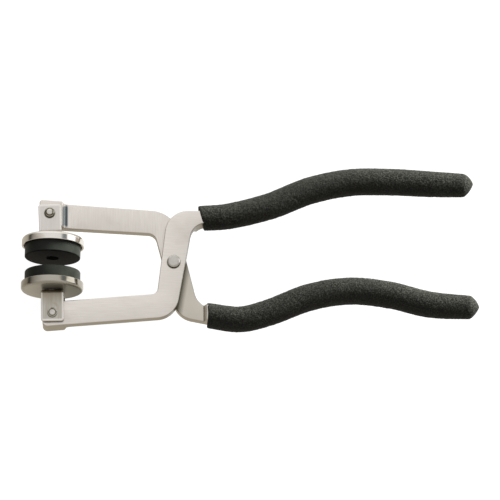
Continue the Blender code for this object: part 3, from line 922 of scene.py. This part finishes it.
def clevis_mesh(name, lean, web_out, skew):
    """A U of bent sheet: its section is swept along its middle line. Local Y runs from the pad's
    side (negative) to the leg ends, X across the sheet, Z along the pin."""
    middle_z = CLEVIS_SLOT_HALF + SHEET / 2
    web = web_out + SHEET / 2
    middle_radius = CLEVIS_BEND_RADIUS - SHEET / 2
    line = rounded([(LEG_BEYOND_PIN, middle_z, 0), (web, middle_z, middle_radius),
                    (web, -middle_z, middle_radius), (LEG_BEYOND_PIN, -middle_z, 0)],
                   CLEVIS_BEND_STEP, closed=False)
    first, last = line[0], line[-1]
    line = ([first + Vector((-step, 0)) for step in CLEVIS_END_STEPS] + line[1:-1]
            + [last + Vector((-step, 0)) for step in reversed(CLEVIS_END_STEPS)])
    form = bmesh.new()
    worn = form.verts.layers.float.new("edge")
    shade_layer = form.verts.layers.float.new("side")
    rows = []
    for index, point in enumerate(line):
        normal = across_path(line, index)
        travelled = min((point - first).length, (point - last).length)
        half = CLEVIS_WIDTH / 2 - corner_drop(CLEVIS_CORNER, travelled)
        plain = half - CLEVIS_WORN_EDGE + CLEVIS_WEAR_MARGIN
        row = []
        for spot in clevis_section(half, SHEET / 2 - corner_drop(CLEVIS_EDGE, travelled)):
            height = point.y + normal.y * spot.y
            vertex = form.verts.new((spot.x + skew * (height - middle_z),
                                     point.x + normal.x * spot.y, height))
            vertex[worn] = CLEVIS_WEAR * (abs(spot.x) > plain or travelled < CLEVIS_WORN_EDGE)
            # the inner side takes its steel's side colour, which on the lower clevis is painted
            # shade
            vertex[shade_layer] = float(spot.y > 0)      # the inner side
            row.append(vertex)
        rows.append(row)
    skin(form, rows, capped=True)
    bmesh.ops.rotate(form, verts=form.verts, cent=(0, 0, 0), matrix=Matrix.Rotation(lean, 3, 'Z'))
    return mesh_from(form, name)


def cut_hole(target, radius, start, end):
    """Cuts a round hole between two points given in the target's own millimetres."""
    form = bmesh.new()
    axis = Vector(end) - Vector(start)
    turn = Vector((0, 0, 1)).rotation_difference(axis).to_matrix().to_4x4()
    middle = Matrix.Translation((Vector(start) + Vector(end)) / 2)
    bmesh.ops.create_cone(form, cap_ends=True, segments=CUTTER_POINTS, radius1=radius,
                          radius2=radius, depth=axis.length, matrix=middle @ turn)
    combine(target, mesh_from(form, "cutter"), 'DIFFERENCE')


def make_head(side, pin, middle, swivel, lean, skew, cup_place, standoff, steel, cup_steel, body):
    """Clevis, spacer, cup, pad and rivet of one head; in its own frame the pad faces -Y."""
    head = (Matrix.Translation(PIVOT + Vector((*pin, middle)) * MM)
            @ Matrix.Rotation(swivel, 4, 'Z'))
    disc = (head @ Matrix.Translation(Vector((*cup_place, 0)) * MM)
            @ Matrix.Rotation(-math.pi / 2, 4, 'X'))
    offset, back = cup_place
    web_out = back + standoff

    def add_turned(kind, making, corners, steps, look, ring=True):
        mesh = turned_mesh(f"{side}_{kind}", smooth_profile(corners, ring), steps, ring)
        return place_piece(f"{side}_{kind}_{making}", mesh, disc, body, look,
                           f"{side}_{kind}")

    clevis = place_piece(side + "_clevis_bent", clevis_mesh(side + "_clevis", lean, web_out, skew),
                         head, body, steel, side + "_clevis")
    cut_hole(clevis, PIN_HOLE_RADIUS, (0, 0, -PIN_HOLE_REACH), (0, 0, PIN_HOLE_REACH))
    cut_hole(clevis, PAD_RIVET_HOLE_RADIUS, (offset, web_out - SHEET, 0),
             (offset, web_out + 2 * SHEET, 0))
    clevis.data.set_sharp_from_angle(angle=CLEVIS_SHARP)
    even_normals(clevis)

    bore = PAD_RIVET_HOLE_RADIUS
    wall = CUP_RADIUS - CUP_WALL
    cup = add_turned("cup", "polished", [
        (bore, 0, 0), (CUP_RADIUS, 0, CUP_EDGE_RADIUS), (CUP_RADIUS, -CUP_HEIGHT, CUP_RIM_RADIUS),
        (wall, -CUP_HEIGHT, CUP_RIM_RADIUS), (wall, -CUP_FLOOR, CUP_FLOOR_RADIUS),
        (bore, -CUP_FLOOR, 0)], DISC_STEPS, cup_steel)
    even_normals(cup)

    pad_back = -CUP_FLOOR - TIGHT_GAP
    face = -CUP_HEIGHT - PAD_STANDS_OUT
    ledge = face + PAD_HOLE_DEPTH
    pad = add_turned("pad", "rubber", [
        (bore, pad_back, 0), (PAD_RADIUS, pad_back, PAD_BACK_EDGE_RADIUS),
        (PAD_RADIUS, face, PAD_EDGE_RADIUS), (PAD_HOLE_RADIUS, face, PAD_HOLE_EDGE_RADIUS),
        (PAD_HOLE_RADIUS, ledge, 0), (bore, ledge, 0)], DISC_STEPS, RUBBER)
    even_normals(pad)

    spacer_top = TIGHT_GAP + SPACER_THICKNESS
    add_turned("spacer", "turned", [
        (bore, spacer_top, 0), (SPACER_RADIUS, spacer_top, SPACER_ROUNDING),
        (SPACER_RADIUS, TIGHT_GAP, SPACER_ROUNDING), (bore, TIGHT_GAP, 0)], SMALL_STEPS,
        steel)

    head_top = ledge - TIGHT_GAP
    head_end = head_top - PAD_RIVET_HEAD_HEIGHT
    seat = standoff + SHEET + PAD_RIVET_TAIL_GAP
    top = seat + PAD_RIVET_TAIL_HEIGHT
    add_turned("pad_rivet", "turned", [
        (0, top, 0), (PAD_RIVET_TAIL_RADIUS, top, PAD_RIVET_TAIL_ROUNDING),
        (PAD_RIVET_TAIL_RADIUS, seat, SEAT_ROUNDING), (PAD_RIVET_RADIUS, seat, 0),
        (PAD_RIVET_RADIUS, head_top, 0), (PAD_RIVET_HEAD_RADIUS, head_top, SEAT_ROUNDING),
        (PAD_RIVET_HEAD_RADIUS, head_end, PAD_RIVET_HEAD_ROUNDING), (0, head_end, 0)],
        PAD_RIVET_STEPS, RIVET_STEEL, ring=False)


# ---- grips

def mouth_shift(mouth, turn):
    """How far along the handle the sleeve's rim lies, this far round it."""
    level, slant, hollow = mouth
    return level + slant * math.cos(turn) + hollow * math.cos(turn) ** 2


def grip_line(handle):
    """A function that gives the place and direction at a distance along a grip; its length."""
    dense = smooth_path([Vector(point) for point in handle], GRIP_LINE_STEPS)
    lengths = np.cumsum([0.0] + [(b - a).length for a, b in zip(dense, dense[1:])])
    xs = np.array([point.x for point in dense])
    ys = np.array([point.y for point in dense])
    total = float(lengths[-1])

    def spot(distance):
        return Vector((float(np.interp(distance, lengths, xs)),
                       float(np.interp(distance, lengths, ys))))

    def along(distance):
        held = min(max(distance, 0.0), total)
        ahead = (spot(min(total, held + GRIP_DIRECTION_REACH))
                 - spot(max(0.0, held - GRIP_DIRECTION_REACH))).normalized()
        return spot(held) + ahead * (distance - held), ahead

    return along, total


def grip_radius(distance, total):
    """The sleeve swells in the middle and thins over its last stretch."""
    swell = math.sin(math.pi * min(1.0, max(0.0, distance / total)))
    thinning = max(0.0, 1 - (total - distance) / GRIP_TAPER_LENGTH) ** 2
    return (GRIP_START_RADIUS + (GRIP_MIDDLE_RADIUS - GRIP_START_RADIUS) * swell
            - GRIP_TAPER * thinning)


def pebbled(place, strength):
    """How far the skin stands out here: two sizes of small bumps."""
    fine = noise.noise(place * PEBBLE_FINE)
    coarse = noise.noise(place * PEBBLE_COARSE + PEBBLE_SHIFT)
    return strength * (PEBBLE_HEIGHT * fine + PEBBLE_HEIGHT * coarse)


def make_grip(name, handle, mouth, drop_shift, body, node):
    """A dipped sleeve: its rim is uneven, its skin is pebbled, and its end narrows to the point
    where the last drop hung."""
    along, total = grip_line(handle)
    turns = full_turn(GRIP_RING_POINTS)
    form = bmesh.new()

    def add_ring(distance, radius, strength=0.0, drop=0.0):
        """One ring; near the mouth it leans as the rim does."""
        row = []
        lean = max(0.0, 1 - distance / MOUTH_LEAN_LENGTH)
        where, ahead = along(distance)
        for turn in turns:
            if lean > 0:
                where, ahead = along(distance + mouth_shift(mouth, turn) * lean)
            across = Vector((-ahead.y, ahead.x))
            out = (across * math.cos(turn)).to_3d() + Vector((0, 0, math.sin(turn)))
            centre = (where + across * drop).to_3d()
            height = pebbled(centre + out * radius, strength) if strength else 0.0
            row.append(form.verts.new(centre + out * (radius + height)))
        return row

    rows = []
    for angle in quarter_turn(MOUTH_STEPS):
        distance = MOUTH_ROUNDING * (1 - math.cos(angle))
        below = MOUTH_ROUNDING * (1 - math.sin(angle))
        rows.append(add_ring(distance, grip_radius(distance, total) - below))
    distance = MOUTH_ROUNDING + GRIP_RING_SPACING
    end_start = total - GRIP_END_LENGTH
    while distance < end_start:
        strength = min(1.0, distance / PEBBLES_START)
        rows.append(add_ring(distance, grip_radius(distance, total), strength))
        distance += GRIP_RING_SPACING
    end_radius = grip_radius(end_start, total)
    along_power, radius_power = GRIP_END_BLUNTNESS
    for angle in quarter_turn(GRIP_END_RINGS)[:-1]:
        share = math.sin(angle)
        radius = end_radius * (1 - share ** along_power) ** radius_power
        rows.append(add_ring(end_start + GRIP_END_LENGTH * share, radius,
                             1 - GRIP_END_SMOOTHING * share, drop_shift * share ** 2))
    skin(form, rows)
    where, ahead = along(total)
    tip = form.verts.new((where + Vector((-ahead.y, ahead.x)) * drop_shift).to_3d())
    for first, second in zip(rows[-1], rows[-1][1:] + rows[-1][:1]):
        form.faces.new((first, second, tip))

    # the rim turns in to the bore, which runs along the tang to a closed end
    bore_end = total - TANG_SHORTER_THAN_GRIP + BORE_END_GAP
    bore_rows = [rows[0], add_ring(0.0, (GRIP_START_RADIUS + GRIP_BORE_RADIUS) / 2)]
    bore_rows += [add_ring(bore_end * step / BORE_STEPS, GRIP_BORE_RADIUS)
                  for step in range(BORE_STEPS + 1)]
    skin(form, bore_rows)
    form.faces.new(bore_rows[-1])
    place_piece(name, mesh_from(form, name), AT_PIVOT, body, VINYL, node)


# ---- camera, lights, floor

# Colour of the room by height, from the nadir (-1) to the zenith (1)
WORLD_LEVELS = (
    (-1.0, (0.62, 0.58, 0.50)), (-0.76, (0.60, 0.56, 0.48)), (-0.28, (0.46, 0.43, 0.36)),
    (-0.12, (0.08, 0.075, 0.06)), (-0.02, (0.07, 0.066, 0.055)), (0.20, (0.36, 0.34, 0.31)),
    (0.50, (0.64, 0.62, 0.59)), (0.80, (0.90, 0.89, 0.87)), (1.0, (1.0, 0.99, 0.975)),
)
# Direction, angle of the full patch, angle where it ends, colour
WORLD_PATCHES = (
    ((0.0, -0.94, 0.34), 30, 72, (0.66, 0.63, 0.57)),
    ((0.0, 0.985, 0.17), 32, 58, (1.2, 1.2, 1.17)),
    ((0.685, 0.284, 0.672), 5, 14, (0.25, 0.28, 0.295)),
    ((0.94, 0.284, 0.19), 19, 24, (1.9, 1.9, 1.86)),
    ((0.60, 0.284, -0.74), 28, 40, (1.15, 1.14, 1.10)),
)

KEY_PLACE = (1.51, 1.27, 0.38)
KEY_SIZE = 1.2
KEY_POWER = 760
CAMERA_TILT = math.radians(16.5)
CAMERA_DISTANCE = 5.0
CAMERA_SEES = 0.2625        # the width that fills the picture
CAMERA_AIM_Y = 0.0001
CAMERA_REACH = 20
FLOOR_HALF_SIZE = 3.0
FLOOR_PAPER = (0.05, 0.05, 0.05)
FLOOR_ROUGHNESS = 0.9
FLOOR_GLOW = 0.97


def make_camera():
    """A long lens, tilted back from straight down: the viewing angle of the reference."""
    data = bpy.data.cameras.new("camera")
    data.lens = data.sensor_width * CAMERA_DISTANCE / CAMERA_SEES
    data.clip_end = CAMERA_REACH
    camera = add_object("camera", data)
    away = Vector((0, -math.sin(CAMERA_TILT), math.cos(CAMERA_TILT))) * CAMERA_DISTANCE
    camera.location = Vector((0, CAMERA_AIM_Y, PIVOT.z)) + away
    camera.rotation_euler = (CAMERA_TILT, 0, 0)
    bpy.context.scene.camera = camera


def add_patch(tree, colour, direction, inner, outer, patch_colour):
    """Paints a soft round patch on the dome: full within one angle, gone beyond the other."""
    nearness = vector_math(tree, 'DOT_PRODUCT', own_place(tree, "Generated"),
                           Vector(direction).normalized())
    share = remap(tree, nearness, math.cos(math.radians(outer)), math.cos(math.radians(inner)))
    return mix_colour(tree, share, colour, patch_colour)


def make_world():
    """A white ceiling over a tan room with a dark horizon, a bright wall behind the object, a dim
    one in front, a low softbox on the right, a small dark card above it and bright paper below."""
    world = bpy.data.worlds.new("studio")
    bpy.context.scene.world = world
    world.use_nodes = True
    tree = world.node_tree
    ramp = tree.nodes.new("ShaderNodeValToRGB")
    height = local_place(tree, "Generated")["Z"]
    tree.links.new(remap(tree, height, -1, 1), ramp.inputs["Fac"])
    stops = ramp.color_ramp.elements
    stops[0].color = (*WORLD_LEVELS[0][1], 1)
    stops[1].color = (*WORLD_LEVELS[-1][1], 1)
    for height, colour in WORLD_LEVELS[1:-1]:
        stops.new((height + 1) / 2).color = (*colour, 1)
    colour = ramp.outputs["Color"]
    for patch in WORLD_PATCHES:
        colour = add_patch(tree, colour, *patch)
    tree.links.new(colour, tree.nodes["Background"].inputs["Color"])


def make_key_light():
    """A large soft light, low behind on the right. Shiny pieces mirror only the painted room."""
    data = bpy.data.lights.new("key", 'AREA')
    data.shape = 'SQUARE'
    data.size = KEY_SIZE
    data.energy = KEY_POWER
    light = add_object("key", data)
    light.location = KEY_PLACE
    light.rotation_euler = (-Vector(KEY_PLACE)).to_track_quat('-Z', 'Y').to_euler()
    light.visible_glossy = False


def make_floor():
    """Dark paper that glows white, so that it is even and shows hardly any shadow."""
    form = bmesh.new()
    bmesh.ops.create_grid(form, x_segments=1, y_segments=1, size=FLOOR_HALF_SIZE)
    mesh = bpy.data.meshes.new("floor")
    form.to_mesh(mesh)
    form.free()
    floor = add_object("floor", mesh)
    material, _, shader = new_material("floor_paper")
    shader.inputs["Base Color"].default_value = (*FLOOR_PAPER, 1)
    shader.inputs["Roughness"].default_value = FLOOR_ROUGHNESS
    shader.inputs["Specular IOR Level"].default_value = 0.1
    shader.inputs["Emission Color"].default_value = (1, 1, 1, 1)
    shader.inputs["Emission Strength"].default_value = FLOOR_GLOW
    mesh.materials.append(material)
    floor.visible_glossy = False


bpy.context.scene.view_settings.view_transform = 'Standard'
make_camera()
make_world()
make_key_light()
make_floor()

make_lever("front_lever_forged", FRONT_LEVER_OUTLINE, FRONT_COVE_START, FRONT_NECK_STEP, True,
           LOWER_PIN, UPPER_HANDLE, "front_half", FRONT_STEEL, "front_lever")
make_lever("rear_lever_forged", REAR_LEVER_OUTLINE, REAR_COVE_START, REAR_NECK_STEP, False,
           UPPER_PIN, LOWER_HANDLE, "rear_half", REAR_STEEL, "rear_lever")
make_pivot_rivet()
make_clevis_pin("upper", UPPER_PIN, -HEAD_MIDDLE, True, "rear_half")
make_clevis_pin("lower", LOWER_PIN, HEAD_MIDDLE, False, "front_half")
make_head("upper", UPPER_PIN, -HEAD_MIDDLE, UPPER_SWIVEL, UPPER_CLEVIS_LEAN, 0.0, UPPER_CUP_PLACE,
          UPPER_WEB_STANDOFF, UPPER_CLEVIS_STEEL, UPPER_CUP_STEEL, "upper_head")
make_head("lower", LOWER_PIN, HEAD_MIDDLE, LOWER_SWIVEL, LOWER_CLEVIS_LEAN, LOWER_CLEVIS_SKEW,
          LOWER_CUP_PLACE, LOWER_WEB_STANDOFF, LOWER_CLEVIS_STEEL, LOWER_CUP_SHADED_STEEL, "lower_head")
make_grip("upper_grip_dipped", UPPER_HANDLE, UPPER_MOUTH, UPPER_DROP_SHIFT, "front_half",
          "upper_grip")
make_grip("lower_grip_dipped", LOWER_HANDLE, LOWER_MOUTH, LOWER_DROP_SHIFT, "rear_half",
          "lower_grip")
